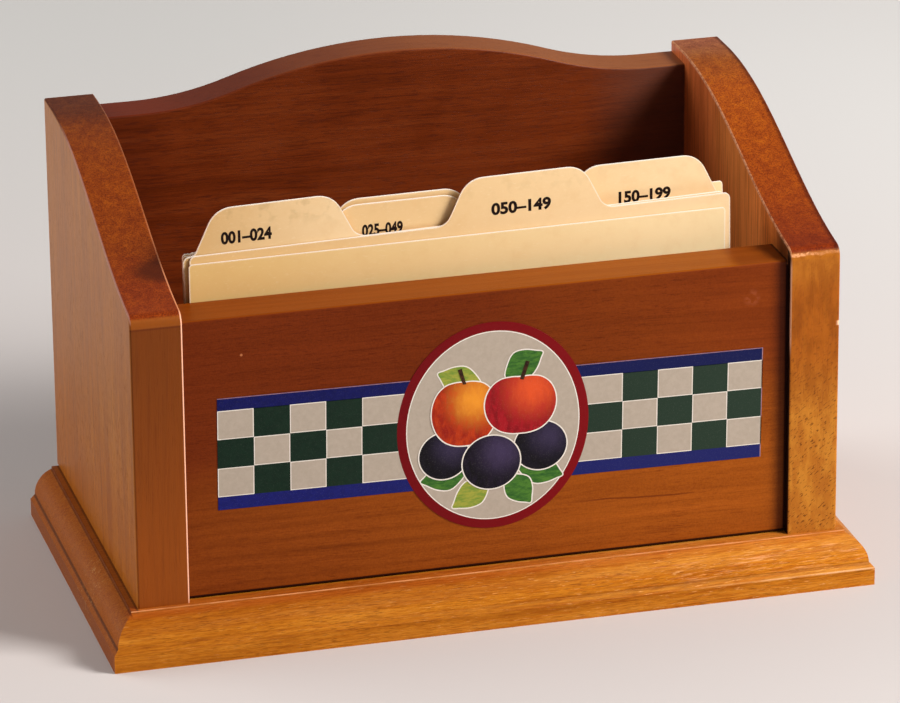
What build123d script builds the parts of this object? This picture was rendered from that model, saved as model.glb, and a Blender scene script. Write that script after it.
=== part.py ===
"""Recipe card box: an open-topped wooden desk box with a pack of recipe cards and tabbed dividers.

Frame: +X to the right, +Y to the back, +Z up, millimetres. The origin is under the middle of the box,
on the surface it stands on. The box is five boards: a moulded base board, two curved side boards that
stand on it, and a front and a back panel held between the side boards by dowels. Six screws come up
through the base board. The cards stand in the well behind the front panel, and each one lifts straight
out. The well is sized round the cards, and the boards round the well.
"""

import os
from math import atan, cos, degrees, radians, sin, tan
from typing import NamedTuple

from build123d import *

# Cards
card_width = 127.0
card_height = 76.2
card_stock = 0.25
card_corner_radius = 0.8
card_floor_gap = 0.25  # between a card's foot and the base board

# Dividers: cards with a tab in one of four positions
divider_extra_width = 1.0  # wider than a plain card
divider_stock = 0.3
divider_corner_radius = 1.4
tab_count = 4
tab_height = 10.7
tab_mid_width = 32.6  # at half its height
tab_left_margin = 2.6  # from the divider's left end to the first tab's foot
tab_right_margin = 1.6  # from the last tab's foot to the right end
tab_edge_angle = 64.0  # degrees from level
tab_corner_radius = 6.0
tab_flare_radius = 3.8  # at a tab's foot
edge_share = 0.45  # most of a tab's slanted edge that one of its two roundings may take
shoulder_share = 0.9  # most of the level edge beside a tab that the rounding at its foot may take

# The pack in the well
pack_front_gap = 0.45  # between the front panel and the first card, at its left end
pack_gap = 0.25  # between one card and the next, at their left ends
well_end_clearance = 7.0  # between a divider in the middle of the well and each side board
well_depth = 66.9  # between the front and back panels

# Boards
side_stock = 12.0
base_stock = 12.0
front_stock = 12.0
back_stock = 11.0
edge_ease = 0.5  # radius of the sanded edges

# Front panel
card_show = 9.45  # how far a plain card stands above it
front_panel_lift = 0.4  # shadow gap under it
front_panel_recess = 2.1  # its face stands this far behind the side boards' front edges

# Side boards: a flat crest at the rear, then a slope in a lazy S down to the front edge
side_front_rise = 2.8  # from the front panel's top to where the slope meets the front edge
side_slope_drop = 22.3  # from the crest down to there
crest_length = 7.5
crest_pull = 33.0  # how long the slope stays level as it leaves the crest
slope_pull = 31.0  # how long it keeps its front angle
slope_front_angle = 7.6  # degrees below level at the front edge
front_corner_radius = 3.0  # rounding between the slope and the front edge

# Back panel: level shoulders and a raised crown
back_shoulder_drop = 2.5  # from the side boards' crests to the shoulders
crown_rise = 10.1  # from the shoulders to the crown's top
shoulder_length = 8.6  # level stretch at each end
crown_share = 0.63  # the crown's share of the two radii that make the curve

# Base board: a routed edge on the front and both ends, and a plain rear edge
base_overhang = 7.2  # past the side boards, on three sides
base_rear_setback = 2.0  # its rear edge stands this far in front of the side boards' rear edges
lip_height = 4.2  # straight lip under the moulding
ledge_width = 1.1  # small sloped ledge above the lip
ledge_rise = 1.1
end_margin = 1.8  # flat strip between a side board and the moulding, at both ends
front_margin = 0.9  # the same in front of the side boards
quirk_height = 0.6  # small step from that strip down to the rounded part

# Dowels between the panels and the side boards
dowel_diameter = 6.0
dowel_length = 24.0
dowel_side_depth = 8.0  # how far each one goes into a side board
dowel_edge_margin = 16.0  # from a panel's lower and upper edges
glue_clearance = 0.05  # round each dowel and screw

# Countersunk screws up through the base board
screw_diameter = 3.5
screw_length = 28.0
screw_tip_length = 4.0
screw_tip_diameter = 0.7
screw_head_diameter = 7.0
screw_head_angle = 90.0
screw_sink = 0.3  # each head lies this far inside the base board
screw_recess_length = 3.6  # cross recess in the head
screw_recess_width = 0.9
screw_recess_depth = 1.3
pilot_extra = 2.0  # how much deeper a pilot hole is than its screw
side_screw_margin = 19.0  # from a side board's front or rear edge
front_screw_spacing = 84.0

# Printed transfer on the front panel: a band, and an oval medallion over its middle
decal_stock = 0.1
band_end_margin = 6.8  # from the band's ends to the side boards, before it is shifted
band_height = 26.9
medallion_width = 45.2
medallion_edge_margin = 8.2  # from the medallion to the front panel's lower and upper edges
medallion_rise = 0.7  # its centre above the band's centre
decal_shift = 0.9  # the transfer's centre right of the box's middle
decal_tilt = -0.7  # degrees: it was laid a little out of level


class Card(NamedTuple):
    """One card of the pack, as it stands in the well."""

    name: str
    tab: int  # position of its tab from the left, or 0 on a plain card
    height_share: float  # height of its body over card_height
    place: float  # from -1, against the left side board, to 1, against the right one
    turn: float  # degrees its right end is turned back
    tilt: float  # degrees its right end is raised


# From front to back
pack = [
    Card("recipe_card_1", 0, 0.99, -0.34, 1.35, 0.0),
    Card("divider_tab_3", 3, 1.013, -0.12, 1.4, 0.68),
    Card("divider_tab_1", 1, 1.009, -0.26, 1.4, 0.96),
    Card("recipe_card_2", 0, 1.0, -0.38, 1.42, 0.0),
    Card("divider_tab_2", 2, 0.972, -0.34, 1.45, 0.0),
    Card("recipe_card_3", 0, 1.0, -0.4, 1.47, 0.0),
    Card("divider_tab_2_rear", 2, 0.985, -0.24, 1.5, 0.08),
    Card("recipe_card_4", 0, 1.0, -0.42, 1.55, 0.0),
    Card("divider_tab_4", 4, 0.998, -0.16, 1.65, 0.23),
    Card("recipe_card_5", 0, 1.0, -0.4, 1.7, 0.0),
    Card("recipe_card_6", 0, 1.0, -0.38, 1.72, 0.0),
    Card("recipe_card_7", 0, 1.0, 0.12, 1.75, 1.53),
]

# Widths, from the cards outwards
divider_width = card_width + divider_extra_width
inner_half_width = divider_width / 2 + well_end_clearance
half_width = inner_half_width + side_stock
side_middle_x = half_width - side_stock / 2
base_half_width = half_width + base_overhang

# Depths, with the origin in the middle of the whole box
side_depth = front_panel_recess + front_stock + well_depth + back_stock
rear_y = (side_depth + base_overhang) / 2
side_front_y = rear_y - side_depth
base_front_y = side_front_y - base_overhang
base_rear_y = rear_y - base_rear_setback
front_face_y = side_front_y + front_panel_recess
front_rear_y = front_face_y + front_stock
front_middle_y = front_face_y + front_stock / 2
back_middle_y = rear_y - back_stock / 2

# Heights, from the surface up
card_foot_z = base_stock + card_floor_gap
front_foot_z = base_stock + front_panel_lift
front_top_z = card_foot_z + card_height - card_show
front_panel_height = front_top_z - front_foot_z
side_front_z = front_top_z + side_front_rise
crest_z = side_front_z + side_slope_drop
shoulder_z = crest_z - back_shoulder_drop

# Fasteners
dowel_x = inner_half_width + dowel_side_depth - dowel_length / 2
dowel_hole_radius = dowel_diameter / 2 + glue_clearance
dowel_hole_length = dowel_length + 2 * glue_clearance
screw_hole_radius = screw_diameter / 2 + glue_clearance
screw_head_height = (screw_head_diameter - screw_diameter) / 2 / tan(radians(screw_head_angle / 2))
pilot_depth = screw_sink + screw_length + pilot_extra


def dowel_centres(panel_y, foot_z, top_z):
    """Middles of the four dowels that hold one panel between the side boards."""
    levels = (foot_z + dowel_edge_margin, top_z - dowel_edge_margin)
    return [(x, panel_y, z) for x in (-dowel_x, dowel_x) for z in levels]


def from_below(points):
    """Planes under the base board, facing down, at the given points."""
    return [Plane(origin=(x, y, 0), z_dir=(0, 0, -1)) for x, y in points]


def save(part, name):
    """Label a finished piece and write it as a STEP file."""
    part.label = name
    export_step(part, f"parts/{name}.step")


front_dowels = dowel_centres(front_middle_y, front_foot_z, front_top_z)
back_dowels = dowel_centres(back_middle_y, base_stock, shoulder_z)
side_screw_ys = (side_front_y + side_screw_margin, rear_y - side_screw_margin)
side_screws = [(x, y) for x in (-side_middle_x, side_middle_x) for y in side_screw_ys]
front_screws = [(x, front_middle_y) for x in (-front_screw_spacing / 2, front_screw_spacing / 2)]

os.makedirs("parts", exist_ok=True)


def routed_edge(face, outward, margin):
    """Add the lines of the base board's routed edge in a section, from its top down to its foot.

    face is where the side board's outer face stands, outward is the way from it, 1 or -1, and margin
    is the width of the flat strip.
    """
    round_top = (face + outward * margin, base_stock - quirk_height)
    round_foot = (face + outward * (base_overhang - ledge_width), lip_height + ledge_rise)
    lip_x = face + outward * base_overhang
    Polyline((face, base_stock), (round_top[0], base_stock), round_top)
    TangentArc(round_foot, round_top, tangent=(0, 1))
    Polyline(round_foot, (lip_x, lip_height), (lip_x, 0), (face, 0))


# Base board: its section from left to right, run from front to back, and cut by its section from
# front to back, so that the moulding turns the two front corners in mitres
with BuildPart() as base_board:
    with BuildSketch(Plane.XZ.offset(-base_rear_y)):
        with BuildLine():
            routed_edge(-half_width, -1, end_margin)
            routed_edge(half_width, 1, end_margin)
            Line((-half_width, base_stock), (half_width, base_stock))
            Line((-half_width, 0), (half_width, 0))
        make_face()
    extrude(amount=base_rear_y - base_front_y)
    with BuildSketch(Plane.YZ.offset(-base_half_width)):
        with BuildLine():
            routed_edge(side_front_y, -1, front_margin)
            Polyline((side_front_y, base_stock), (base_rear_y, base_stock))
            Polyline((base_rear_y, base_stock), (base_rear_y, 0), (side_front_y, 0))
        make_face()
    extrude(amount=2 * base_half_width, mode=Mode.INTERSECT)
    with Locations(*from_below(side_screws + front_screws)):
        CounterSinkHole(
            radius=screw_hole_radius,
            counter_sink_radius=screw_head_diameter / 2 + screw_sink + glue_clearance,
            counter_sink_angle=screw_head_angle,
        )
save(base_board.part, "base_board")


def make_side(name, middle_x):
    """One side board, with blind holes for its dowels and pilot holes for its screws."""
    rise = radians(slope_front_angle)
    slope_foot = (side_front_y, side_front_z)
    slope_aim = (side_front_y + slope_pull * cos(rise), side_front_z + slope_pull * sin(rise))
    crest_front = (rear_y - crest_length, crest_z)
    crest_aim = (rear_y - crest_length - crest_pull, crest_z)
    with BuildPart() as side:
        with BuildSketch(Plane.YZ.offset(middle_x - side_stock / 2)) as outline:
            with BuildLine():
                Polyline(slope_foot, (side_front_y, base_stock), (rear_y, base_stock))
                Polyline((rear_y, base_stock), (rear_y, crest_z), crest_front)
                Bezier(crest_front, crest_aim, slope_aim, slope_foot)
            make_face()
            front_corner = outline.vertices().group_by(Axis.X)[0].sort_by(Axis.Y)[-1]
            fillet(front_corner, radius=front_corner_radius)
        extrude(amount=side_stock)
        outline_edges = side.faces().filter_by(Axis.X).edges()
        fillet([edge for edge in outline_edges if edge.center().Z > base_stock + edge_ease], radius=edge_ease)
        with Locations(*[centre for centre in front_dowels + back_dowels if centre[0] * middle_x > 0]):
            Cylinder(dowel_hole_radius, dowel_hole_length, rotation=(0, 90, 0), mode=Mode.SUBTRACT)
        with Locations(*from_below([point for point in side_screws if point[0] * middle_x > 0])):
            Hole(radius=screw_hole_radius, depth=pilot_depth)
    save(side.part, name)


make_side("left_side", -side_middle_x)
make_side("right_side", side_middle_x)

# Front panel: a plain board with its top edges eased
with BuildPart() as front_panel:
    with BuildSketch(Plane.XY.offset(front_foot_z)):
        with Locations((0, front_middle_y)):
            Rectangle(2 * inner_half_width, front_stock)
    extrude(amount=front_panel_height)
    fillet(front_panel.faces().sort_by(Axis.Z)[-1].edges().filter_by(Axis.X), radius=edge_ease)
    with Locations(*front_dowels):
        Cylinder(dowel_hole_radius, dowel_hole_length, rotation=(0, 90, 0), mode=Mode.SUBTRACT)
    with Locations(*from_below(front_screws)):
        Hole(radius=screw_hole_radius, depth=pilot_depth)
save(front_panel.part, "front_panel")

# Back panel: its crown is one wide arc that runs into a smaller reversed arc at each end
crown_half_span = inner_half_width - shoulder_length
crown_turn = 2 * atan(crown_rise / crown_half_span)
radii_sum = crown_half_span / sin(crown_turn)
crown_radius = crown_share * radii_sum
reversed_radius = radii_sum - crown_radius

with BuildPart() as back_panel:
    with BuildSketch(Plane.XZ.offset(-rear_y)):
        with BuildLine():
            rising = JernArc((-crown_half_span, shoulder_z), (1, 0), reversed_radius, degrees(crown_turn))
            crown = JernArc(rising @ 1, rising % 1, crown_radius, -2 * degrees(crown_turn))
            falling = JernArc(crown @ 1, crown % 1, reversed_radius, degrees(crown_turn))
            Polyline(
                falling @ 1,
                (inner_half_width, shoulder_z),
                (inner_half_width, base_stock),
                (-inner_half_width, base_stock),
                (-inner_half_width, shoulder_z),
                rising @ 0,
            )
        make_face()
    extrude(amount=back_stock)
    outline_edges = back_panel.faces().filter_by(Axis.Y).edges()
    fillet([edge for edge in outline_edges if edge.center().Z > shoulder_z - edge_ease], radius=edge_ease)
    with Locations(*back_dowels):
        Cylinder(dowel_hole_radius, dowel_hole_length, rotation=(0, 90, 0), mode=Mode.SUBTRACT)
save(back_panel.part, "back_panel")

# Dowels: four separate solids for each panel
for panel, centres in (("front", front_dowels), ("back", back_dowels)):
    with BuildPart() as dowels:
        with Locations(*centres):
            Cylinder(dowel_diameter / 2, dowel_length, rotation=(0, 90, 0))
    save(dowels.part, f"{panel}_panel_dowels")

# Screws: six separate solids, heads down, each with a cross recess
on_its_foot = (Align.CENTER, Align.CENTER, Align.MIN)
shank_length = screw_length - screw_tip_length
recess_arms = ((screw_recess_length, screw_recess_width), (screw_recess_width, screw_recess_length))
with BuildPart() as base_screws:
    with Locations(*[(x, y, screw_sink) for x, y in side_screws + front_screws]):
        Cone(screw_head_diameter / 2, screw_diameter / 2, screw_head_height, align=on_its_foot)
        Cylinder(screw_diameter / 2, shank_length, align=on_its_foot)
        with Locations((0, 0, shank_length)):
            Cone(screw_diameter / 2, screw_tip_diameter / 2, screw_tip_length, align=on_its_foot)
        for length, width in recess_arms:
            Box(length, width, screw_recess_depth, align=on_its_foot, mode=Mode.SUBTRACT)
save(base_screws.part, "base_screws")

# Printed transfer, flat on the front panel's face
band_length = 2 * (inner_half_width - band_end_margin)
medallion_height = front_panel_height - 2 * medallion_edge_margin
decal_centre = (decal_shift, (front_foot_z + front_top_z) / 2, 0)
with BuildPart() as front_decal:
    with BuildSketch(Plane.XZ.offset(-front_face_y)):
        with Locations(Location(decal_centre, (0, 0, decal_tilt))):
            Rectangle(band_length, band_height)
            with Locations((0, medallion_rise)):
                Ellipse(medallion_width / 2, medallion_height / 2)
    extrude(amount=decal_stock)
save(front_decal.part, "front_decal")

# Cards and dividers
tab_edge_length = tab_height / sin(radians(tab_edge_angle))
tab_lean = tab_height / tan(radians(tab_edge_angle))
tab_foot_width = tab_mid_width + tab_lean
tab_pitch = (divider_width - tab_left_margin - tab_right_margin - tab_foot_width) / (tab_count - 1)


def fitting_radius(wanted, *rooms):
    """Radius of a rounding at a tab, made smaller where an edge has too little room for it."""
    return min(wanted, min(rooms) / tan(radians(tab_edge_angle / 2)))


def divider_corners(height, tab):
    """Corners of a divider from its lower left to its lower right one, and the radii of those between."""
    foot_left = tab_left_margin + (tab - 1) * tab_pitch
    foot_right = foot_left + tab_foot_width
    corners = [
        (0, 0),
        (0, height),
        (foot_left, height),
        (foot_left + tab_lean, height + tab_height),
        (foot_right - tab_lean, height + tab_height),
        (foot_right, height),
        (divider_width, height),
        (divider_width, 0),
    ]
    edge_room = edge_share * tab_edge_length
    left_room = shoulder_share * (foot_left - divider_corner_radius)
    right_room = shoulder_share * (divider_width - foot_right - divider_corner_radius)
    radii = [
        divider_corner_radius,
        fitting_radius(tab_flare_radius, edge_room, left_room),
        fitting_radius(tab_corner_radius, edge_room),
        fitting_radius(tab_corner_radius, edge_room),
        fitting_radius(tab_flare_radius, edge_room, right_room),
        divider_corner_radius,
    ]
    return corners, radii


def plain_corners(height):
    """Corners of a plain card from its lower left to its lower right one, and the radii of those between."""
    return [(0, 0), (0, height), (card_width, height), (card_width, 0)], [card_corner_radius] * 2


def card_plane(card, width, left_y):
    """Plane of a card's front face, with its origin at the card's lower left corner."""
    turn, tilt = radians(card.turn), radians(card.tilt)
    side_play = inner_half_width - width / 2
    start = (card.place * side_play - width / 2 * cos(turn), left_y, card_foot_z)
    along = (cos(turn), sin(turn), tan(tilt))
    return Plane(origin=start, x_dir=along, z_dir=(sin(turn), -cos(turn), 0))


left_y = front_rear_y + pack_front_gap
for card in pack:
    height = card_height * card.height_share
    corners, radii = divider_corners(height, card.tab) if card.tab else plain_corners(height)
    width = corners[-1][0]
    stock = divider_stock if card.tab else card_stock
    with BuildPart() as standing_card:
        with BuildSketch(card_plane(card, width, left_y)):
            with BuildLine():
                FilletPolyline(*corners, radius=radii)
                Line(corners[-1], corners[0])
            make_face()
        extrude(amount=-stock)
    save(standing_card.part, card.name)
    left_y += stock + pack_gap
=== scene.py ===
"""Dresses the recipe card box: varnished wood, printed transfer, card stock with number labels, light, camera."""
from math import cos, pi, radians, sin

import bmesh
import bpy
from mathutils import Matrix, Vector


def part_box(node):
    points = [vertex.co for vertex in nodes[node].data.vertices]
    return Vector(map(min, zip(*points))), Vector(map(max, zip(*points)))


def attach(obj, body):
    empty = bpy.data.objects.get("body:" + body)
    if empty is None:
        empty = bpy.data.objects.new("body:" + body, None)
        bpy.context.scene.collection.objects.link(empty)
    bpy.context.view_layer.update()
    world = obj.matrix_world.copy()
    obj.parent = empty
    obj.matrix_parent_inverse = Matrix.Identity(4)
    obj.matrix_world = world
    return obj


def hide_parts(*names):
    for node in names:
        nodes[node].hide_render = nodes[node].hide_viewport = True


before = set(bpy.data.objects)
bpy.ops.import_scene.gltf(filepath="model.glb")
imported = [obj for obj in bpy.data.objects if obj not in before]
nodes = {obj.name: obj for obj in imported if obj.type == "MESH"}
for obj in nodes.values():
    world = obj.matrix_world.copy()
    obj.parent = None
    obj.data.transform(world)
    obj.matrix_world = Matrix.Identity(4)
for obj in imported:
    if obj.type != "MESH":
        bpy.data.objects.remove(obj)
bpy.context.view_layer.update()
MM = 0.001

# Planes of the box that the finish follows, in millimetres in the part's frame
SIDE_INNER, SIDE_OUTER = 71.0, 83.0  # faces of the side boards, left and right of the middle
PANEL_FOOT, PANEL_TOP = 12.4, 79.0  # lower and upper edge of the front panel
BASE_TOP, LEDGE_TOP, LIP_TOP = 12.0, 5.3, 4.2  # heights of the base board's moulding
SLOPE_FRONT, SLOPE_REAR = -42, 46  # ends of the stained stretch along the side boards' tops

# Finish
STREAK_STOPS = (0.36, 0.5, 0.66)  # where the three tones of a board lie in its grain
# the rubbed edges are partly a painted highlight
PALE_EDGE_AND_HIGHLIGHT = "C87440"  # bare wood at the edges of every board
FLAT_ON_FRONT = (1.0, 0.0, 1.0)  # scale that drops the depth of a place
LABEL_HEIGHT, LABEL_LIFT = 3.0, 0.02  # millimetres, the lift off the divider's face

# Camera: direction to it from the middle of the view, middle of the view in millimetres, distance, focal length
AZIMUTH, ELEVATION, ROLL = radians(-15.02), radians(20.89), radians(-0.54)
TARGET, DISTANCE, LENS = (-9.61, -42.4, 66.24), 1.24676, 221.43

# World: strength of the dim room, of the pale panels above and behind, and share of the background in reflections
ROOM, OVERHEAD, MIRRORED = 0.15, 0.18, 0.12


def colour(text):
    """Linear colour of a six-digit screen colour."""
    parts = [int(text[i:i + 2], 16) / 255 for i in (0, 2, 4)]
    return tuple(c / 12.92 if c <= 0.04045 else ((c + 0.055) / 1.055) ** 2.4 for c in parts) + (1.0,)


def add_object(name, data):
    thing = bpy.data.objects.new(name, data)
    bpy.context.scene.collection.objects.link(thing)
    return thing


# ---------------------------------------------------------------- camera
def set_camera():
    back = Vector((sin(AZIMUTH) * cos(ELEVATION), -cos(AZIMUTH) * cos(ELEVATION), sin(ELEVATION)))
    right = Vector((cos(AZIMUTH), sin(AZIMUTH), 0))
    up = back.cross(right)
    across = cos(ROLL) * right + sin(ROLL) * up
    above = -sin(ROLL) * right + cos(ROLL) * up
    lens = bpy.data.cameras.new("camera")
    lens.lens, lens.sensor_width, lens.clip_end = LENS, 36, 20
    turn = Matrix((across, above, back)).transposed().to_4x4()
    turn.translation = Vector(TARGET) * MM + back * DISTANCE
    camera = add_object("camera", lens)
    camera.matrix_world = turn
    bpy.context.scene.camera = camera


set_camera()


# ---------------------------------------------------------------- shader helpers
class Graph:
    """Short names for the nodes of a material or world. An input takes a socket or a plain value."""

    def __init__(self, tree):
        self.tree = tree

    def feed(self, socket, value):
        if isinstance(value, bpy.types.NodeSocket):
            self.tree.links.new(value, socket)
        elif value is not None:
            socket.default_value = value

    def node(self, kind, *values, **settings):
        """A new node with these settings, its first inputs fed in order."""
        node = self.tree.nodes.new("ShaderNode" + kind)
        for name, setting in settings.items():
            setattr(node, name, setting)
        for socket, value in zip(node.inputs, values):
            self.feed(socket, value)
        return node

    def axes(self, vector):
        return self.node("SeparateXYZ", vector).outputs

    def vector(self, operation, a, b=None, scale=None):
        node = self.node("VectorMath", a, b, operation=operation)
        self.feed(node.inputs[3], scale)
        return node.outputs["Value" if operation in ("DOT_PRODUCT", "LENGTH", "DISTANCE") else "Vector"]

    def math(self, operation, a, b=None):
        return self.node("Math", a, b, operation=operation).outputs[0]

    def less(self, a, b):
        return self.math("SUBTRACT", a, b)

    def add(self, *values):
        total = values[0]
        for value in values[1:]:
            total = self.math("ADD", total, value)
        return total

    def times(self, *values):
        total = values[0]
        for value in values[1:]:
            total = self.math("MULTIPLY", total, value)
        return total

    def span(self, value, low, high, out_low=0.0, out_high=1.0, smooth=True):
        """From out_low at low to out_high at high, and level beyond them."""
        kind = "SMOOTHSTEP" if smooth else "LINEAR"
        return self.node("MapRange", value, low, high, out_low, out_high, interpolation_type=kind).outputs[0]

    def near(self, value, centre, half, soft):
        """1 within half of centre, fading over soft."""
        return self.span(self.math("ABSOLUTE", self.less(value, centre)), half + soft, half)

    def mix(self, share, a, b, blend="MIX"):
        node = self.node("Mix", share, data_type="RGBA", blend_type=blend)
        self.feed(node.inputs[6], a)
        self.feed(node.inputs[7], b)
        return node.outputs[2]

    def paint(self, tone, text, *shares):
        """The tone under a screen colour, laid on by the product of the shares."""
        return self.mix(self.times(*shares), tone, colour(text))

    def tint(self, tone, factors, *shares):
        """The tone multiplied by the factors, by the product of the shares."""
        return self.mix(self.times(*shares), tone, (*factors, 1), "MULTIPLY")

    def noise(self, place, scale=1.0, detail=2.0, rough=0.5, warp=0.0, output="Fac"):
        node = self.node("TexNoise")
        for name, value in (("Vector", place), ("Scale", scale), ("Detail", detail), ("Roughness", rough),
                            ("Distortion", warp)):
            self.feed(node.inputs[name], value)
        return node.outputs[output]

    def stretch(self, place, scale, move=(0, 0, 0), turn=(0, 0, 0)):
        return self.node("Mapping", place, move, turn, scale).outputs[0]

    def ramp(self, value, stops):
        node = self.node("ValToRGB", value)
        elements = node.color_ramp.elements
        while len(elements) < len(stops):
            elements.new(0.5)
        for element, (position, text) in zip(elements, stops):
            element.position, element.color = position, colour(text)
        return node.outputs[0]


class Shader(Graph):
    """A material under construction. mm is the place in the part's frame, in millimetres."""

    def __init__(self, name):
        self.material = bpy.data.materials.new(name)
        self.material.use_nodes = True
        super().__init__(self.material.node_tree)
        self.mm = self.vector("SCALE", self.node("TexCoord").outputs["Object"], scale=1000)
        self.x, self.y, self.z = self.axes(self.mm)
        self.normal = self.node("NewGeometry").outputs["Normal"]
        self.nx, self.ny, self.nz = self.axes(self.normal)

    def clouds(self, scale, detail, rough, low, high):
        """1 in soft patches; scale is per millimetre."""
        return self.span(self.noise(self.mm, scale, detail, rough), low, high)

    def spot(self, across, up, radius):
        """1 inside a small round place on a face that looks to the front."""
        away = self.vector("DISTANCE", self.vector("MULTIPLY", self.mm, FLAT_ON_FRONT), (across, 0.0, up))
        return self.span(away, radius * 1.4, radius * 0.6)

    def specks(self, spacing, size):
        """Sparse small dots."""
        node = self.node("TexVoronoi", self.mm)
        node.inputs["Scale"].default_value = 1.0 / spacing
        return self.span(node.outputs["Distance"], size / spacing, size * 0.4 / spacing)

    def bump(self, height, depth_mm):
        node = self.node("Bump")
        node.inputs["Strength"].default_value = 1.0
        node.inputs["Distance"].default_value = depth_mm * MM
        self.feed(node.inputs["Height"], height)
        return node.outputs[0]

    def edge(self, radius_mm):
        """0 on flat faces, towards 1 on sharp edges."""
        node = self.node("Bevel", radius_mm * MM, samples=6)
        return self.span(self.vector("DOT_PRODUCT", node.outputs[0], self.normal), 0.995, 0.80)

    def finish(self, base, roughness, normal=None, **constants):
        surface = self.tree.nodes["Principled BSDF"]
        for name, value in (("Base Color", base), ("Roughness", roughness), ("Normal", normal)):
            self.feed(surface.inputs[name], value)
        for name, value in constants.items():
            surface.inputs[name.replace("_", " ")].default_value = value
        return self.material


def dress(name, material):
    """Gives a CAD node its material."""
    slots = nodes[name].data.materials
    slots.clear()
    slots.append(material)


# ---------------------------------------------------------------- wood
class Wood(Shader):
    """Varnished wood with its grain along one axis ("x" or "z")."""

    def __init__(self, name, grain, seed):
        super().__init__(name)
        self.grain = grain
        self.place = self.mm
        move = (seed * 37.0, seed * 53.0, seed * 71.0)
        slow = self.noise(self.along(0.006, 0.03, move), output="Color", detail=1.0)
        waver = self.vector("SCALE", self.vector("SUBTRACT", slow, (0.5, 0.5, 0.5)), scale=9.0)
        self.place = self.vector("ADD", self.mm, waver)
        self.streak = self.noise(self.along(0.012, 0.42, move), detail=5.0, rough=0.62)
        self.fibre = self.noise(self.along(0.06, 2.6, move), detail=3.0, rough=0.6)
        self.pores = self.noise(self.along(0.4, 5.0, move), detail=1.0)
        self.blotch = self.noise(self.vector("ADD", self.mm, move), 0.045, detail=3.0, rough=0.55)

    def along(self, lengthwise, crosswise, move):
        """The place scaled by one number along the grain and another across it."""
        scale = [crosswise] * 3
        scale["xyz".index(self.grain)] = lengthwise
        return self.stretch(self.place, tuple(scale), move)

    def streaks(self, lengthwise, crosswise, move, detail, rough, low, high):
        """1 in streaks along the grain."""
        return self.span(self.noise(self.along(lengthwise, crosswise, move), 1.0, detail, rough), low, high)


def plank(name, grain, seed, tones, pore, look=None, wear=0.5, sheen=0.12, pore_level=(0.58, 0.68),
          pore_share=0.5):
    """Satin varnish over stained wood, with open pores and rubbed edges that are partly a painted highlight. look
    adds one board's own marks, painted light and shade among them.
    """
    n = Wood(name, grain, seed)
    mixed = n.add(n.times(n.streak, 0.62), n.times(n.fibre, 0.2), n.times(n.blotch, 0.18))
    tone = n.ramp(mixed, list(zip(STREAK_STOPS, tones)))
    pores = n.times(n.span(n.pores, *pore_level), n.span(n.blotch, 0.35, 0.6, 0.35, 1.0))
    tone = n.paint(tone, pore, pores, pore_share)
    if look:
        tone = look(n, tone)
    # rubbed edges, broken into patches, partly a painted highlight
    broken = n.clouds(0.5, 4.0, 0.65, 0.38, 0.62)
    edge_wear_and_highlight = n.times(n.edge(0.7), n.add(0.25, n.times(broken, 0.75)), wear(n) if callable(wear) else wear)
    tone = n.paint(tone, PALE_EDGE_AND_HIGHLIGHT, edge_wear_and_highlight)
    relief = n.add(n.times(n.fibre, 0.35), n.times(n.less(1.0, pores), 0.3))
    rough = n.add(0.3, n.times(n.streak, 0.12), n.times(pores, 0.12), n.times(edge_wear_and_highlight, 0.1))
    return n.finish(tone, rough, n.bump(relief, 0.05), Specular_IOR_Level=sheen)


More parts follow.
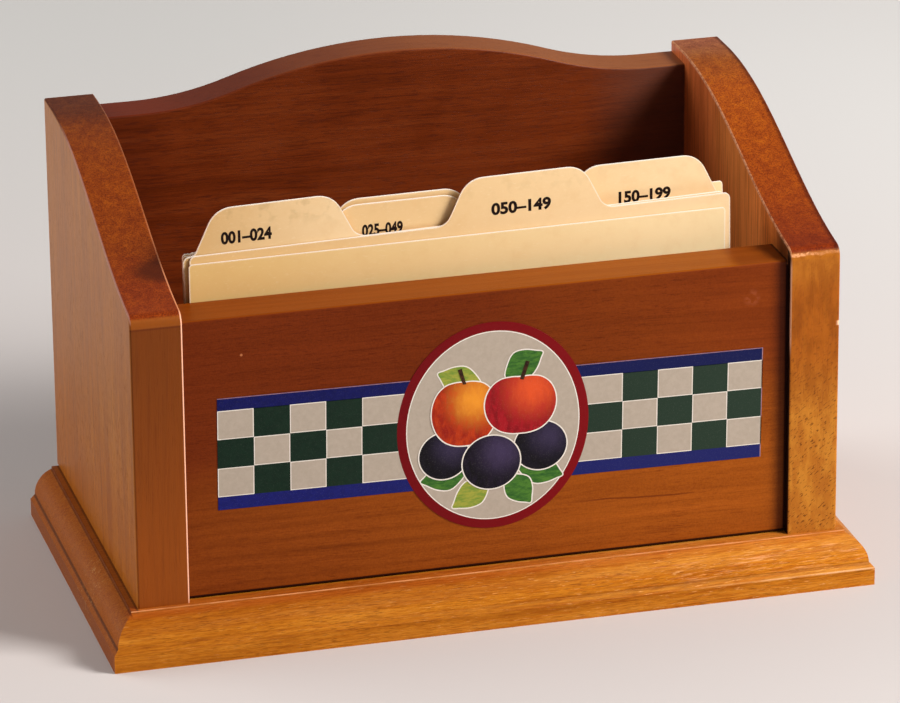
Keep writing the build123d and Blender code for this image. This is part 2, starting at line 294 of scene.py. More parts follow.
def front_panel_look(n, tone):
    # darker towards the top and the left
    high, left = n.span(n.z, 28, 62), n.span(n.x, 50, -60, smooth=False)
    dark = n.add(n.times(high, 0.66), n.times(left, 0.62), n.times(n.less(n.blotch, 0.5), 0.5))
    tone = n.tint(tone, (0.44, 0.285, 0.48), n.math("MINIMUM", dark, 1.0))
    # sweeping grain in the lower part
    from_heart = n.vector("SUBTRACT", n.place, (-18.0, 0.0, -30.0))
    far = n.vector("LENGTH", n.vector("MULTIPLY", from_heart, (0.24, 0.0, 1.0)))
    rings = n.math("SINE", n.add(n.times(far, 1.9), n.times(n.noise(n.mm, 0.06, detail=3.0), 7.0)))
    curves = n.times(n.span(rings, 0.3, 0.95), n.span(n.z, 36, 26), n.span(n.blotch, 0.36, 0.6, 0.4, 1.0))
    tone = n.tint(tone, (0.55, 0.42, 0.4), curves, 0.24)
    # fine grit and lines
    grit = n.noise(n.mm, 2.4, detail=2.0, rough=0.7)
    tone = n.tint(tone, (0.78, 0.7, 0.7), n.span(grit, 0.5, 0.62), 0.35)
    tone = n.tint(tone, (1.2, 1.26, 1.2), n.span(grit, 0.5, 0.38), 0.35)
    tone = n.tint(tone, (0.6, 0.5, 0.5), n.streaks(0.06, 1.8, (3, 7, 1), 4.0, 0.75, 0.5, 0.68), 0.4)
    tone = n.tint(tone, (0.88, 0.7, 0.9), n.span(n.x, 20, 66), n.span(n.z, 46, 60), 0.8)
    # one long dark line of the grain low on the right
    wandering = n.add(n.z, n.times(n.x, 0.03), n.times(n.blotch, 2.0))
    seam = n.times(n.near(wandering, 26.6, 0.12, 0.15), n.span(n.x, 14, 30), n.span(n.x, 52, 44))
    tone = n.paint(tone, "5A1C08", seam, 0.6)
    # pale specks, one larger one, and a faint scuff
    dust = n.times(n.specks(14.0, 0.5), n.span(n.blotch, 0.42, 0.6), 0.5)
    tone = n.paint(tone, "C4784A", n.math("MAXIMUM", dust, n.times(n.spot(-57.3, 69.8, 0.3), 0.8)))
    tone = n.paint(tone, "B46440", n.spot(62.5, 70.8, 1.8), n.clouds(1.2, 2.0, 0.5, 0.4, 0.6), 0.22)
    # the upper edge is lighter, lighter still towards the right as partly a painted reflection of the cards, with
    # a painted shadow by the right side board
    shelf = n.mix(n.span(n.x, -70, 52), (0.255, 0.050, 0.002, 1), (0.325, 0.078, 0.002, 1))
    shelf = n.tint(shelf, (0.7, 0.6, 0.6), n.span(n.streak, 0.4, 0.62), 0.35)
    # painted shadow of the right side board
    shelf = n.tint(shelf, (0.72, 0.62, 1.1), n.span(n.x, 57.5, 60.5))
    tone = n.mix(n.span(n.nz, 0.4, 0.85), tone, shelf)
    # painted soft shade before the right side board, and painted black shade in the gaps there and under the panel
    shade = n.times(n.span(n.x, SIDE_INNER - 4.5, SIDE_INNER - 0.5, 0.0, 0.5), n.span(n.nz, 0.5, 0.2))
    tone = n.paint(tone, "301410", shade)
    below = n.span(n.z, PANEL_FOOT + 0.55, PANEL_FOOT + 0.3)
    painted_gap_shade = n.math("MAXIMUM", below, n.span(n.x, SIDE_INNER - 0.7, SIDE_INNER - 0.2))
    return n.paint(tone, "180608", painted_gap_shade, 0.92)


def front_panel_edge_wear_and_highlight(n):
    """Rubbed along the upper front edge, partly a painted highlight, most at its right end."""
    return n.times(n.near(n.z, PANEL_TOP, 0.7, 0.4), n.span(n.ny, 0.1, -0.2), n.span(n.x, 44, 54, 0.12, 0.9))


def back_panel_look(n, tone):
    lines = n.streaks(0.05, 1.6, (4, 9, 2), 5.0, 0.75, 0.5, 0.66)
    tone = n.paint(tone, "3A1410", n.streaks(0.16, 2.6, (8, 1, 5), 3.0, 0.7, 0.5, 0.64), 0.4)
    tone = n.paint(tone, "3E1206", lines, 0.45)
    tone = n.paint(tone, "7A3414", n.span(n.blotch, 0.45, 0.62), 0.3)
    # painted shade darkens the inner face into both corners, deepest at the right in the shadow of the right side
    # board
    inside = n.span(n.ny, 0.3, -0.3)
    tone = n.tint(tone, (0.72, 0.72, 0.9), inside, n.span(n.x, -52, -68, 0.0, 0.8))
    tone = n.mix(n.times(inside, n.span(n.x, 44, 63, 0.0, 0.6)), tone, (0.1, 0.042, 0.03, 1))
    # the crown's edge is paler towards the right, partly a painted sheen
    edge = n.mix(n.span(n.add(n.x, n.times(n.blotch, 30.0)), -50, 60), colour("5E1E0C"), colour("90532C"))
    edge = n.tint(edge, (1.3, 1.4, 1.0), n.span(n.x, -46, -60))
    edge = n.tint(edge, (0.6, 0.5, 0.5), lines, 0.55)
    return n.mix(n.times(n.span(n.nz, 0.4, 0.85), 0.9), tone, edge)


def slopes_look(n, stops):
    """End grain on a side board's top, stained by stops of depth and colour, with fine dark speckle."""
    depth = n.add(n.y, n.times(n.less(n.blotch, 0.5), 10.0))
    along = n.span(depth, SLOPE_FRONT, SLOPE_REAR, smooth=False)
    length = SLOPE_REAR - SLOPE_FRONT
    tone = n.ramp(along, [((y - SLOPE_FRONT) / length, text) for y, text in stops])
    fine = n.noise(n.mm, 3.0, detail=3.0, rough=0.75)
    patches = n.noise(n.mm, 0.22, detail=3.0, rough=0.6)
    coarse = n.noise(n.mm, 0.55, detail=3.0, rough=0.6)
    for source, low, high, share, factors in (
            (fine, 0.49, 0.58, 0.95, (0.52, 0.4, 0.3)), (fine, 0.46, 0.34, 0.5, (1.4, 1.6, 1.3)),
            (patches, 0.5, 0.64, 0.35, (0.74, 0.6, 0.6)), (patches, 0.48, 0.36, 0.35, (1.18, 1.36, 1.2)),
            (coarse, 0.5, 0.36, 0.5, (1.25, 1.45, 1.2)), (coarse, 0.46, 0.62, 0.35, (0.65, 0.52, 0.4))):
        tone = n.tint(tone, factors, n.span(source, low, high), share)
    return tone


def arris(n, x, low, high):
    """The rubbed inner edge of a side board, partly a painted highlight, down its front edge from high to low."""
    down = n.times(n.span(n.ny, -0.2, -0.5), n.span(n.z, low - 3, low + 3), n.span(n.z, high + 2, high - 2))
    return n.times(n.near(n.x, x, 0.11, 0.13), down)


def left_look(n, tone):
    # outer face: a painted sheen, paler towards the upper rear, and warmer towards the foot
    outer = n.span(n.nx, -0.5, -0.85)
    pale = n.span(n.add(n.z, n.times(n.y, 0.4), n.times(n.blotch, 30.0)), 40, 125)
    tone = n.paint(tone, "B58A66", outer, pale, 0.16)
    lines = n.streaks(0.05, 1.5, (3, 7, 1), 4.0, 0.75, 0.48, 0.66)
    tone = n.tint(tone, (0.6, 0.54, 0.5), lines, 0.6)
    tone = n.tint(tone, (1.08, 0.98, 0.6), outer, n.span(n.z, 60, 15))
    # top, with a dark patch near its front
    slopes = n.span(n.nz, 0.4, 0.75)
    ends = slopes_look(n, ((-42, "8C360A"), (-30, "84320A"), (-16, "883A0A"), (6, "8E3E08"), (30, "7C360A"),
                           (37, "622A0E"), (46, "602A10")))
    from_dark_patch = n.vector("SUBTRACT", n.place, (-SIDE_INNER, -24.5, 0.0))
    reach = n.vector("LENGTH", n.vector("MULTIPLY", from_dark_patch, (0.15, 0.26, 0.0)))
    dark_patch = n.span(n.add(reach, n.times(n.fibre, 0.5)), 1.65, 0.85)
    tone = n.mix(slopes, tone, n.paint(ends, "481804", dark_patch, 0.88))
    # inner face
    tone = n.tint(tone, (0.62, 0.6, 0.8), n.span(n.nx, 0.5, 0.85), 0.9)
    # front edge, darker towards the top
    height = n.span(n.add(n.z, n.times(n.blotch, 24.0)), 20.0, 90.0)
    stain = n.mix(height, colour("92460E"), colour("74360C"))
    stain = n.tint(stain, (0.7, 0.6, 0.6), n.span(n.streak, 0.42, 0.6), 0.3)
    stain = n.tint(stain, (0.72, 0.66, 0.6), lines, 0.35)
    tone = n.mix(n.times(n.span(n.ny, -0.5, -0.85), n.less(1.0, slopes), 0.9), tone, stain)
    # painted highlight on the rounded corner between the top and the front edge, with a dark line under it
    to_front = n.span(n.ny, -0.3, -0.6)
    tone = n.paint(tone, "A85A1C", n.near(n.z, PANEL_TOP + 1.2, 0.8, 0.5), to_front, 0.45)
    tone = n.paint(tone, "5E240A", n.near(n.z, PANEL_TOP - 0.1, 0.12, 0.2), to_front, 0.5)
    # rubbed edges, partly a painted highlight
    upward = n.span(n.nz, 0.2, 0.5)
    tone = n.paint(tone, "D09A88", n.near(n.x, 0.2 - SIDE_OUTER, 0.14, 0.14), upward,
                   n.span(n.y, 34.0, 20.0, 0.0, 0.5))
    tone = n.paint(tone, "C88058", n.near(n.x, -SIDE_INNER - 0.2, 0.16, 0.16), upward,
                   n.span(n.y, 0.0, -34.0, 0.2, 0.9))
    return n.paint(tone, "F2B494", arris(n, -SIDE_INNER - 0.2, BASE_TOP, 82.0), 0.95)


def right_look(n, tone):
    # outer and inner face; the inner one is lighter towards the front, with a painted shadow at its front above
    # the front panel
    inner = n.span(n.nx, -0.5, -0.85)
    tone = n.tint(tone, (0.6, 0.56, 0.8), n.span(n.nx, 0.5, 0.85, 0.0, 0.9))
    warm = n.mix(n.span(n.add(n.y, n.times(n.blotch, 24.0)), 42, 6), colour("CC6838"), colour("EA8C48"))
    warm = n.tint(warm, (0.52, 0.46, 0.42), n.streaks(0.035, 0.9, (3, 7, 1), 5.0, 0.7, 0.42, 0.62), 0.75)
    # painted shadow at the front of the inner face
    warm = n.paint(warm, "3A1208", n.span(n.y, -29, -36, 0.0, 0.9))
    tone = n.mix(n.times(inner, 0.9), tone, warm)
    # top, darker along its outer edge
    slopes = n.span(n.nz, 0.4, 0.75)
    ends = slopes_look(n, ((-42, "7E2A06"), (-24, "8E3A08"), (0, "9E480A"), (22, "A24C0C"), (34, "964C14"),
                           (39, "98562E"), (46, "98563A")))
    tone = n.mix(slopes, tone, ends)
    outermost = n.span(n.add(n.x, n.times(n.fibre, 0.6)), SIDE_OUTER - 1.3, SIDE_OUTER - 0.3)
    tone = n.tint(tone, (0.34, 0.26, 0.3), outermost, n.span(n.nz, 0.1, 0.4), 0.85)
    # front edge: golden patches, darker near the top, with short slanted pores
    front = n.times(n.span(n.ny, -0.5, -0.85), n.less(1.0, slopes))
    patches = n.span(n.noise(n.stretch(n.mm, (0.34, 0.34, 0.14)), detail=4.0, rough=0.65), 0.36, 0.64)
    height = n.times(n.span(n.add(n.z, n.times(n.blotch, 20.0)), 46.0, 72.0), n.span(n.z, 78.0, 70.0, 0.6, 1.0))
    gold = n.mix(patches, n.mix(height, colour("B0681E"), colour("8A4409")),
                 n.mix(height, colour("C6802A"), colour("A25410")))
    tone = n.mix(n.times(front, 0.85), tone, gold)
    turned = n.stretch(n.mm, (1, 1, 1), turn=(0, radians(38), 0))
    dashes = n.span(n.noise(n.stretch(turned, (0.8, 0.8, 3.4))), 0.57, 0.66)
    tone = n.paint(tone, "643008", front, dashes, n.span(n.z, 74, 40, 0.25, 0.85))
    # rubbed line, partly a painted highlight, where the top meets the front edge, and one chip on the outer edge
    chips = n.clouds(1.1, 3.0, 0.7, 0.42, 0.55)
    wavy = n.add(n.z, n.times(n.noise(n.mm, 0.6), 1.0))
    top_line_wear_and_highlight = n.times(n.near(wavy, PANEL_TOP + 2.1, 0.22, 0.22), n.span(n.y, -39.5, -41.0),
                  n.add(0.3, n.times(chips, 0.7)), n.span(n.x, 78.5, 74.5, 0.3, 0.9))
    tone = n.paint(tone, "E8A06C", top_line_wear_and_highlight)
    tone = n.paint(tone, "F2C09A", n.near(n.z, 63.3, 0.4, 0.3), n.span(n.x, SIDE_OUTER - 1.0, SIDE_OUTER - 0.2),
                   n.span(n.ny, 0.0, -0.3))
    # painted black shade in the gap beside the front panel, and rubbed inner edges, partly a painted highlight
    tone = n.paint(tone, "160806", inner, n.span(n.y, -39.9, -40.5), 0.95)
    tone = n.paint(tone, "D8946A", n.near(n.x, SIDE_INNER + 0.2, 0.16, 0.16), n.span(n.nz, 0.2, 0.5),
                   n.add(0.2, n.times(chips, 0.6)))
    return n.paint(tone, "F0B08C", arris(n, SIDE_INNER + 0.2, 58.0, PANEL_TOP), 0.8)


def base_look(n, tone):
    to_front = n.span(n.ny, 0.0, -0.3)
    barely_front = n.span(n.ny, -0.05, -0.3)
    # end grain at the left and the right
    left = n.span(n.nx, -0.2, -0.5)
    left_end = n.mix(n.span(n.fibre, 0.4, 0.6), colour("863C04"), colour("9C4C06"))
    tone = n.mix(n.times(left, 0.75), tone, left_end)
    right_end = n.span(n.noise(n.stretch(n.mm, (1.0, 0.25, 1.4)), detail=4.0, rough=0.7), 0.4, 0.6)
    right_end = n.mix(right_end, colour("8E4E14"), colour("A8641C"))
    tone = n.mix(n.span(n.nx, 0.2, 0.5, 0.0, 0.85), tone, right_end)
    # flat strip beside the left side board, dark along both its edges
    strip = n.mix(n.near(n.x, -SIDE_OUTER - 0.2, 0.2, 0.25), colour("8E4814"), colour("4E200A"))
    ledge = n.times(n.span(n.x, 0.4 - SIDE_OUTER, -SIDE_OUTER - 0.2), n.span(n.z, BASE_TOP - 0.8, BASE_TOP - 0.2))
    tone = n.mix(n.times(ledge, 0.8), tone, strip)
    tone = n.paint(tone, "5E260C", n.near(n.x, -SIDE_OUTER - 1.9, 0.14, 0.2),
                   n.span(n.z, BASE_TOP - 1.1, BASE_TOP - 0.7), 0.7)
    # dark line over the ledge, darker lip, and a pale scar on the left end
    tone = n.paint(tone, "4A1E06", n.near(n.z, LEDGE_TOP, 0.2, 0.25),
                   n.math("MAXIMUM", left, n.span(n.x, -50, 50, 0.0, 0.45)), 0.75)
    tone = n.paint(tone, "74340E", n.span(n.z, LIP_TOP + 0.2, LIP_TOP - 0.1), left, 0.4)
    tone = n.paint(tone, "D8A468", n.clouds(0.9, 3.0, 0.7, 0.59, 0.63), n.near(n.y, -16.0, 6.0, 5.0), left, 0.45)
    # the moulding's forms, from its flat top down, with painted light on its upward faces, painted shade on the
    # lip's upper face and painted light on the front just above the ledge
    tone = n.paint(tone, "DC9440", n.span(n.nz, 0.3, 0.8), n.span(n.x, -30, 85),
                   n.span(n.blotch, 0.35, 0.6, 0.5, 1.0), 0.4)
    tone = n.tint(tone, (0.86, 0.66, 0.9), n.span(n.nz, 0.8, 0.95), n.span(n.x, 70, -10, 0.35, 1.0),
                  n.span(n.y, -40, -41))
    tone = n.tint(tone, (0.92, 0.92, 0.92), n.span(n.z, 6.0, 5.4), n.span(n.nz, 0.3, 0.5), to_front, 0.9)
    tone = n.tint(tone, (1.16, 1.2, 1.2), n.near(n.z, 6.6, 1.2, 1.2), n.span(n.ny, -0.5, -0.9),
                  n.span(n.x, -50, 30, 0.3, 1.0), 0.8)
    tone = n.tint(tone, (0.8, 0.7, 0.62), n.near(n.z, 9.3, 1.1, 1.3), to_front, n.span(n.x, 60, -30))
    # grain: fine dark lines, reddish streaks, pale rubbed ones and flecks, most of them towards the right
    tone = n.tint(tone, (0.68, 0.55, 0.42), n.streaks(0.25, 3.4, (3, 7, 1), 3.0, 0.7, 0.44, 0.6), 0.6)
    tone = n.tint(tone, (0.84, 0.64, 0.44), n.streaks(0.07, 1.2, (2, 5, 4), 4.0, 0.75, 0.5, 0.62),
                  n.span(n.x, -60, 50, 0.15, 0.7))
    tone = n.tint(tone, (1.16, 1.2, 1.1), n.span(n.x, 0, 70, 0.0, 0.4))
    tone = n.paint(tone, "F2AC74", n.streaks(0.12, 1.5, (6, 2, 9), 4.0, 0.75, 0.52, 0.64), n.span(n.x, 15, 60),
                   n.near(n.z, 8.0, 1.6, 1.6), to_front, 0.5)
    tone = n.paint(tone, "ECA864", n.streaks(0.3, 3.0, (1, 4, 8), 3.0, 0.7, 0.6, 0.7),
                   n.span(n.x, -60, 70, 0.25, 0.8))
    # redder band under the flat top, and broken pale lines along the two front edges, rubbed and partly a painted
    # highlight
    tone = n.paint(tone, "A04C16", n.span(n.z, BASE_TOP - 1.6, BASE_TOP - 0.5), n.span(n.ny, -0.1, -0.4),
                   n.span(n.x, 50, -60, 0.0, 0.9), 0.5)
    broken = n.span(n.noise(n.stretch(n.mm, (0.12, 1.0, 1.0)), detail=3.0), 0.4, 0.56, 0.35, 0.9)
    tone = n.paint(tone, "F0A870", n.near(n.z, BASE_TOP - 0.1, 0.12, 0.16), barely_front, broken)
    return n.paint(tone, "F0BC88", n.near(n.z, LIP_TOP, 0.1, 0.16), barely_front, n.span(n.x, 40, 80), broken, 0.8)


# share of the rubbed edges on the base board, partly a painted highlight, more on the front and towards the right
def base_edge_wear_and_highlight(n):
    return n.times(n.span(n.x, -40, 60, 0.3, 0.6), n.span(n.ny, 0.1, -0.1, 0.5, 1.0))


dress("base_board", plank("wood_base", "x", 1, ("A65C12", "C2741C", "D28830"), "6A3006", base_look, base_edge_wear_and_highlight,
                          sheen=0.055, pore_level=(0.56, 0.66), pore_share=0.45))
dress("left_side", plank("wood_left", "z", 2, ("92500E", "A4601A", "B47228"), "5A2404", left_look, 0.22))
dress("right_side", plank("wood_right", "z", 3, ("944A0A", "B4660E", "CA7E1C"), "5A2404", right_look, 0.25))
dress("front_panel", plank("wood_front", "x", 4, ("924810", "9E5013", "A85616"), "702806", front_panel_look,
                           front_panel_edge_wear_and_highlight, sheen=0.06, pore_share=0.4))
dress("back_panel", plank("wood_back", "x", 5, ("5C2208", "6C2A0C", "7A3614"), "3A0C02", back_panel_look, 0.2))
for seed, where in ((6, "front"), (7, "back")):
    beech = plank("wood_dowel_" + where, "x", seed, ("B88A55", "CBA06A", "D8B280"), "8A6038")
    dress(where + "_panel_dowels", beech)


def steel():
    n = Shader("steel_screw")
    scratch = n.noise(n.stretch(n.mm, (3.0, 3.0, 0.4)), detail=3.0)
    tone = n.ramp(scratch, [(0.3, "8F9092"), (0.7, "B9BABC")])
    return n.finish(tone, n.span(scratch, 0.3, 0.7, 0.25, 0.45), n.bump(scratch, 0.01), Metallic=1.0)


dress("base_screws", steel())


# ---------------------------------------------------------------- cards
def card_stock(name, seed, left, right, smudge=0.0, fade=65):
    """Buff card, darker on the left and fading to the right by x = fade, partly aged and partly painted shade; cut
    edges and every edge painted pale as a highlight, and painted warm shade on the left ends.
    """
    n = Shader(name)
    place = n.vector("ADD", n.mm, (seed * 31.0, seed * 17.0, seed * 23.0))
    drift = n.noise(place, 0.03, detail=3.0)
    # darker on the left, partly aged tone and partly painted shade
    across = n.span(n.add(n.x, n.times(drift, 30.0)), -60, fade, smooth=False)
    tone = n.mix(across, colour(left), colour(right))
    mottle = n.noise(place, 0.22, detail=5.0, rough=0.6)
    tone = n.paint(tone, "D9A869", n.span(mottle, 0.45, 0.75, 0.0, 0.16))
    fibres = n.noise(n.stretch(place, (0.7, 0.7, 2.2)), detail=4.0, rough=0.7)
    tone = n.paint(tone, "FBEBC8", n.span(fibres, 0.55, 0.8, 0.0, 0.25))
    if smudge:
        dirt = n.span(n.noise(place, 0.35, detail=4.0), 0.48, 0.66)
        tone = n.paint(tone, "A98A55", dirt, n.span(n.z, 92.0, 99.0), smudge)
    # painted highlight: the cut edges pale
    tone = n.paint(tone, "FFF0E8", n.span(n.math("ABSOLUTE", n.ny), 0.8, 0.4))
    # painted highlight along every edge
    tone = n.paint(tone, "FFFAF0", n.edge(0.6), 0.8)
    # painted warm shade on the left ends
    tone = n.paint(tone, "D89A82", n.span(n.nx, -0.4, -0.8, 0.0, 0.8))
    relief = n.add(n.times(fibres, 0.6), n.times(n.noise(place, 3.0), 0.4))
    return n.finish(tone, n.span(mottle, 0.3, 0.7, 0.55, 0.68), n.bump(relief, 0.02), Specular_IOR_Level=0.35)


PLAIN_CARD = {"left": "E0B66E", "right": "F4DAA8"}
DIVIDER = {"left": "DCB070", "right": "F0D0A0", "smudge": 0.1}
FIRST_DIVIDER = {"left": "C4944E", "right": "F0D0A0", "smudge": 0.3, "fade": -10}

for seed, name in enumerate(sorted(name for name in nodes if name.startswith(("recipe_card", "divider")))):
    divider = FIRST_DIVIDER if name == "divider_tab_1" else DIVIDER
    dress(name, card_stock("stock_" + name, seed, **(divider if name.startswith("divider") else PLAIN_CARD)))


def face_plane(name):
    """Lower left corner, direction to the right, direction up and outward direction of a card's front face."""
    mesh = nodes[name].data
    points = [v.co.copy() for v in mesh.vertices]
    normal = min((p.normal for p in mesh.polygons if p.area > 1e-5), key=lambda d: d.y).normalized()
    front = max(p.dot(normal) for p in points)
    face = [p for p in points if p.dot(normal) > front - 1e-5]
    low_left = min(face, key=lambda p: p.x + p.z)
    low_right = max(face, key=lambda p: p.x - p.z)
    right = (low_right - low_left).normalized()
    return low_left, right, normal.cross(right), normal


def ink():
    n = Shader("label_ink")
    wear = n.noise(n.mm, 2.4, detail=3.0)
    tone = n.ramp(wear, [(0.35, "140806"), (0.7, "221009")])
    return n.finish(tone, n.span(wear, 0.3, 0.7, 0.6, 0.75), Specular_IOR_Level=0.12)


label_ink = ink()


def label(divider, words, centre, width):
    """Number label printed on a divider's tab, centred at a place on its front face, in millimetres."""
    curve = bpy.data.curves.new("label_curve", "FONT")
    curve.body, curve.offset, curve.resolution_u = words, 0.04, 6
    maker = add_object("label_maker", curve)
    bpy.context.view_layer.update()
    mesh = bpy.data.meshes.new_from_object(maker.evaluated_get(bpy.context.evaluated_depsgraph_get()))
    bpy.data.objects.remove(maker)
    bpy.data.curves.remove(curve)
    xs, ys = [v.co.x for v in mesh.vertices], [v.co.y for v in mesh.vertices]
    corner, right, up, out = face_plane(divider)
    for v in mesh.vertices:
        u = (v.co.x - (min(xs) + max(xs)) / 2) / (max(xs) - min(xs)) * width + centre[0]
        w = (v.co.y - (min(ys) + max(ys)) / 2) / (max(ys) - min(ys)) * LABEL_HEIGHT + centre[1]
        v.co = corner + (right * u + up * w + out * LABEL_LIFT) * MM
    mesh.materials.clear()
    mesh.materials.append(label_ink)
    piece = add_object("label_" + divider, mesh)
    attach(piece, divider)


label("divider_tab_1", "001–024", (14.8, 80.4), 11.8)
label("divider_tab_2", "025–049", (46.0, 78.3), 9.6)
label("divider_tab_3", "050–149", (77.8, 79.9), 14.2)
label("divider_tab_4", "150–199", (108.3, 78.3), 12.6)
label("divider_tab_2_rear", "200–249", (47.0, 78.6), 11.6)


# ---------------------------------------------------------------- printed transfer
FACE_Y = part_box("front_decal")[0][1] / MM
BACK_Y = FACE_Y + 0.1  # the front panel's face
TILT, CENTRE = radians(-0.7), (0.9, 45.7)  # how the band lies on the panel: its turn, its middle across and up
LAYER = 0.006  # each layer's step in front of the one before


def turned(u, v, angle, centre):
    return centre[0] + u * cos(angle) - v * sin(angle), centre[1] + u * sin(angle) + v * cos(angle)


class Transfer:
    """Flat shapes on the front panel, each a little in front of the one before."""

    def __init__(self):
        self.mesh = bmesh.new()
        self.materials = []

    def point(self, u, v, y):
        x, z = turned(u, v, TILT, CENTRE)
        return self.mesh.verts.new(Vector((x, y, z)) * MM)

    def shape(self, outline, material, layer, thick=False):
        """A filled outline; a thick one has sides that reach back to the panel."""
        if material not in self.materials:
            self.materials.append(material)
        corners = [self.point(u, v, FACE_Y - layer * LAYER) for u, v in outline]
        faces = [self.mesh.faces.new(corners)]
        if thick:
            rear = [self.point(u, v, BACK_Y) for u, v in outline]
            for i in range(len(corners)):
                j = (i + 1) % len(corners)
                faces.append(self.mesh.faces.new((corners[i], rear[i], rear[j], corners[j])))
        for face in faces:
            face.material_index = self.materials.index(material)

    def finish(self, name):
        bmesh.ops.recalc_face_normals(self.mesh, faces=self.mesh.faces[:])
        for face in self.mesh.faces:
            face.normal_update()
            if face.normal.y > 0.9:
                face.normal_flip()
        bmesh.ops.triangulate(self.mesh, faces=[f for f in self.mesh.faces if len(f.verts) > 4])
        mesh = bpy.data.meshes.new(name)
        self.mesh.to_mesh(mesh)
        for material in self.materials:
            mesh.materials.append(material)
        return add_object(name, mesh)


def print_ink(name, main, second, strokes=(0.9, 0.9, 0.9), ball=None, coarse=0.3, painted_sheen_right=None, grit=0.03):
    """Printed colour with the fine unevenness of a painted original.

    With ball, a centre, a radius and a light colour, it is shaded like a ball. Given a colour for the right, it
    turns to that colour towards the right, as a painted sheen.
    """
    n = Shader(name)
    paint = n.noise(n.stretch(n.mm, strokes), 1.0, detail=4.0, rough=0.65, warp=0.4)
    tone = n.mix(n.span(paint, 0.5 - coarse / 2, 0.5 + coarse / 2), colour(main), colour(second))
    if painted_sheen_right:
        tone = n.paint(tone, painted_sheen_right, n.span(n.x, -60, 60))
    if ball:
        (across, up), radius, lit = ball
        away = n.vector("DISTANCE", n.vector("MULTIPLY", n.mm, FLAT_ON_FRONT), (across, 0.0, up))
        uneven = n.add(away, n.times(n.less(paint, 0.5), radius * 0.7))
        tone = n.paint(tone, lit, n.span(uneven, radius, 0.0))
    dots = n.noise(n.mm, 4.5, detail=1.0)
    tone = n.paint(tone, "E9DFCF", n.span(dots, 0.55, 0.8, 0.0, grit))
    return n.finish(tone, n.span(paint, 0.3, 0.7, 0.3, 0.4), n.bump(dots, 0.006), Specular_IOR_Level=0.12)


def ellipse(width, height, centre):
    steps = [2 * pi * i / 96 for i in range(96)]
    return [(centre[0] + width / 2 * cos(a), centre[1] + height / 2 * sin(a)) for a in steps]


def box_outline(left, right, low, high):
    return [(left, low), (right, low), (right, high), (left, high)]


def smooth_outline(points):
    """Closed curve through the points, four steps from each to the next."""
    out = []
    count = len(points)
    for i in range(count):
        p0, p1, p2, p3 = (Vector(points[(i + k - 1) % count]) for k in range(4))
        for t in (0.0, 0.25, 0.5, 0.75):
            out.append(tuple(0.5 * (2 * p1 + (p2 - p0) * t + (2 * p0 - 5 * p1 + 4 * p2 - p3) * t * t
                                    + (3 * p1 - p0 - 3 * p2 + p3) * t ** 3)))
    return out


def grown(outline, by):
    """The outline moved outwards."""
    count = len(outline)
    area = sum(outline[i][0] * outline[(i + 1) % count][1] - outline[(i + 1) % count][0] * outline[i][1]
               for i in range(count))
    sign = 1 if area > 0 else -1
    out = []
    for i in range(count):
        d = (Vector(outline[(i + 1) % count]) - Vector(outline[i - 1])).normalized()
        out.append((outline[i][0] + d.y * by * sign, outline[i][1] - d.x * by * sign))
    return out


def leaf(base, tip, width):
    """Outline of a pointed, slightly bent leaf from base to tip."""
    start, d = Vector(base), Vector(tip) - Vector(base)
    side = Vector((-d.y, d.x))
    profile = ((0, 0.02), (0.2, 0.32), (0.45, 0.5), (0.7, 0.38), (0.9, 0.14), (1, 0))  # half widths along it
    there = [(share, half) for share, half in profile]
    back = [(share, -half) for share, half in profile[-2:0:-1]]
    points = [start + d * share + side * (half * width / d.length + 0.15 * share * (1 - share))
              for share, half in there + back]
    return smooth_outline([tuple(p) for p in points])


def fruit(t, halo, layer):
    """A plain arrangement of fruit and leaves, each with a pale rim, from this layer up."""
    leaf_dark = print_ink("print_leaf_dark", "2C5A24", "4C7A2C", (0.5, 0.9, 1.6), coarse=0.35)
    leaf_light = print_ink("print_leaf_light", "6C8A34", "A2A040", (0.5, 0.9, 1.6), coarse=0.4)
    stem = print_ink("print_stem", "2A160E", "4A2A16")

    def put(outline, material, rimmed=True):
        nonlocal layer
        if rimmed:
            t.shape(grown(outline, 0.3), halo, layer)
            layer += 1
        t.shape(outline, material, layer)
        layer += 1

    def ball(name, centre, size, main, second, lit, squash, dent=0.0):
        points = []
        for i in range(20):
            a = 2 * pi * i / 20
            r = size * (1 - dent * max(0.0, cos(a - pi / 2)) ** 6 - dent * 0.4 * max(0.0, cos(a + pi / 2)) ** 8)
            points.append((centre[0] + r * cos(a), centre[1] + r * sin(a) * squash))
        glow = turned(centre[0] + size * 0.35, centre[1] + size * 0.38, TILT, CENTRE)
        skin = print_ink(name, main, second, (0.8, 0.8, 0.35), (glow, size * 1.15, lit), 0.35)
        put(smooth_outline(points), skin)

    for base, tip, width, kind in (
            ((-6, -9), (-17.0, -11.5), 7, leaf_dark), ((6, -10), (16.5, -13.0), 7, leaf_dark),
            ((-1, -12), (-9.5, -18.5), 6.5, leaf_light), ((3, -12), (9.0, -19.0), 6.5, leaf_dark),
            ((-3, 11), (-13.0, 14.5), 7, leaf_light), ((3, 12), (11.5, 17.5), 7, leaf_dark)):
        put(leaf(base, tip, width), kind)
    ball("print_plum_1", (11.2, -5.2), 6.2, "0B090D", "15111C", "352C46", 0.95)
    ball("print_plum_2", (-11.6, -5.6), 5.8, "0B090D", "15111C", "352C46", 0.97)
    ball("print_pear", (-6.8, 4.6), 7.7, "8E1A0E", "B83A12", "E8922A", 1.12, 0.16)
    ball("print_apple", (6.4, 5.6), 8.4, "7E0C14", "A41620", "DC5226", 0.94, 0.2)
    ball("print_plum_3", (-0.4, -8.2), 6.8, "0B090D", "1C1424", "3E3250", 0.95)
    put([(6.2, 11.4), (7.6, 15.8), (8.5, 15.5), (7.1, 11.2)], stem, rimmed=False)
    put([(-7.2, 11.4), (-8.4, 15.0), (-7.5, 15.3), (-6.4, 11.4)], stem, rimmed=False)


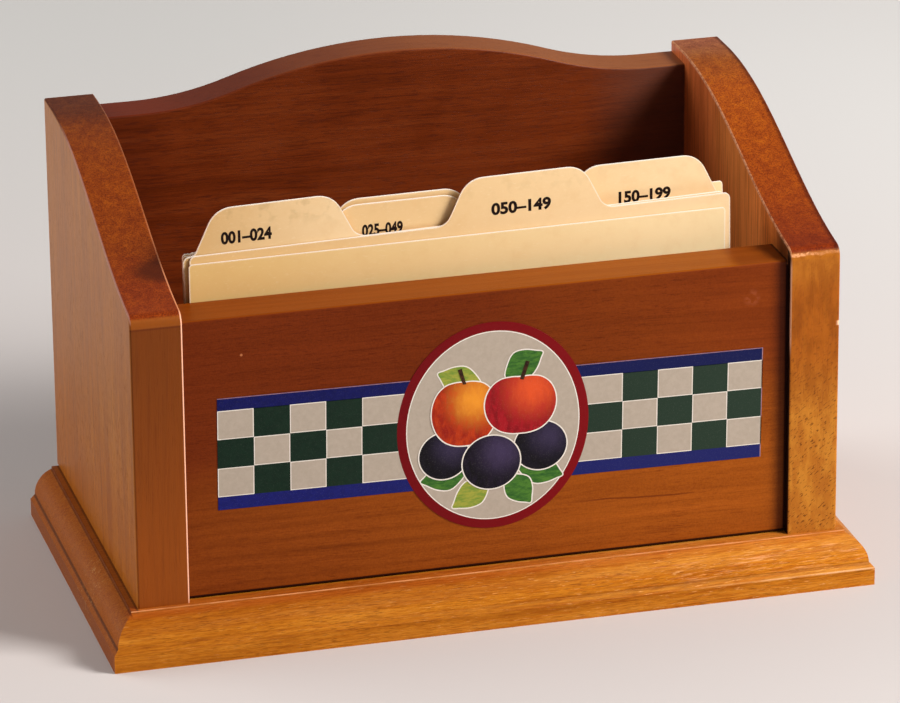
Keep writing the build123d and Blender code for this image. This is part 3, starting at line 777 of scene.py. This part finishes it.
def make_transfer():
    t = Transfer()
    paper = print_ink("print_paper", "AC9E8E", "B4A596", coarse=0.5)
    pale = print_ink("print_pale_line", "E6DCD0", "ECE4DA")
    faint = print_ink("print_faint_line", "8C6A78", "A07C88")
    blue = print_ink("print_blue_low", "12165E", "161A68", painted_sheen_right="1C205E")
    high_blue = print_ink("print_blue_high", "0A0E4C", "0E1256", painted_sheen_right="101648")
    green = print_ink("print_green", "0C2217", "10281B", painted_sheen_right="25362A")
    red = print_ink("print_red", "600109", "660109", painted_sheen_right="80060E", grit=0.005)
    # band: two blue stripes with a checkered field between them, and faint lines at its upper and right edges
    end, edge = 64.2, 13.45  # half its length and half its height
    low, top = 3.15 - edge, edge - 3.0
    t.shape(box_outline(-end, end, -edge, edge), blue, 0, thick=True)
    t.shape(box_outline(-end, end, edge - 3.1, edge), high_blue, 1)
    t.shape(box_outline(-end, end, edge - 0.16, edge), faint, 2)
    t.shape(box_outline(end - 0.2, end, -edge, edge - 0.16), faint, 2)
    t.shape(box_outline(-end, end - 0.1, low, top), green, 1)
    # its pale squares, counted from each end inwards and from the top; the fifth reaches under the medallion
    row, column, line = (top - low) / 3, 8.38, 0.2
    for side in (-1, 1):
        for i in range(5):
            outer, inner = side * (end - column * i), side * (9.0 if i == 4 else end - column * (i + 1))
            left, right = sorted((outer, inner))
            for j in range(i % 2, 3, 2):
                foot = low + row * (2 - j)
                t.shape(box_outline(left, right, foot, foot + row), pale, 2)
                t.shape(box_outline(left + line, right - line, foot + line, foot + row - line), paper, 3)
    # medallion
    middle = (0.0, 0.7)
    t.shape(ellipse(45.2, 50.2, middle), red, 4, thick=True)
    t.shape(ellipse(40.9, 45.9, middle), pale, 5)
    t.shape(ellipse(40.4, 45.4, middle), paper, 6)
    fruit(t, pale, 7)
    piece = t.finish("front_transfer")
    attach(piece, "box")
    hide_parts("front_decal")


make_transfer()


# ---------------------------------------------------------------- floor, light, world
def make_floor():
    half = 4.0
    mesh = bpy.data.meshes.new("floor")
    mesh.from_pydata([(-half, -half, 0), (half, -half, 0), (half, half, 0), (-half, half, 0)], [], [(0, 1, 2, 3)])
    n = Shader("floor_paper")
    tone = n.mix(n.noise(n.mm, 0.004), colour("CFC8C6"), colour("D3CCCA"))
    # painted light: the paper is lighter towards the rear and the right
    far = n.mix(n.span(n.x, -20, 230), colour("D3D1CF"), colour("E0DDDB"))
    tone = n.mix(n.span(n.add(n.y, n.times(n.x, 0.5)), 60, 450), tone, far)
    mesh.materials.append(n.finish(tone, 0.9, Specular_IOR_Level=0.2))
    add_object("floor", mesh)


def make_world():
    """A dim room with pale panels above and behind the object; the camera sees a plain pale background."""
    world = bpy.data.worlds.new("studio")
    bpy.context.scene.world = world
    world.use_nodes = True
    g = Graph(world.node_tree)
    shown = g.tree.nodes["Background"]
    shown.inputs["Color"].default_value = colour("DCD8D5")
    shown.inputs["Strength"].default_value = 1.0
    _, towards_rear, upwards = g.axes(g.node("TexCoord").outputs["Generated"])
    panels = g.times(g.span(towards_rear, -0.4, 0.3, 0.0, OVERHEAD), g.span(upwards, 0.35, 0.75))
    room = g.node("Background", (1.0, 0.985, 0.97, 1), g.add(panels, ROOM))
    ray = g.node("LightPath").outputs
    seen = g.add(ray["Is Camera Ray"], ray["Is Transmission Ray"], g.times(ray["Is Glossy Ray"], MIRRORED))
    choose = g.node("MixShader", seen, room.outputs[0], shown.outputs[0])
    g.feed(g.tree.nodes["World Output"].inputs[0], choose.outputs[0])


def lamp(name, energy, place, size):
    light = bpy.data.lights.new(name, "AREA")
    light.energy, light.color, light.size = energy, (1.0, 0.98, 0.95), size
    holder = add_object(name, light)
    holder.location = place
    holder.rotation_euler = (Vector((0, 0, 0.05)) - holder.location).to_track_quat("-Z", "Y").to_euler()


make_floor()
make_world()
lamp("key", 20.5, (0.82, -0.55, 0.70), 0.45)
lamp("fill", 14.0, (-1.15, 0.7, 0.55), 1.1)
bpy.context.scene.view_settings.view_transform = "Standard"
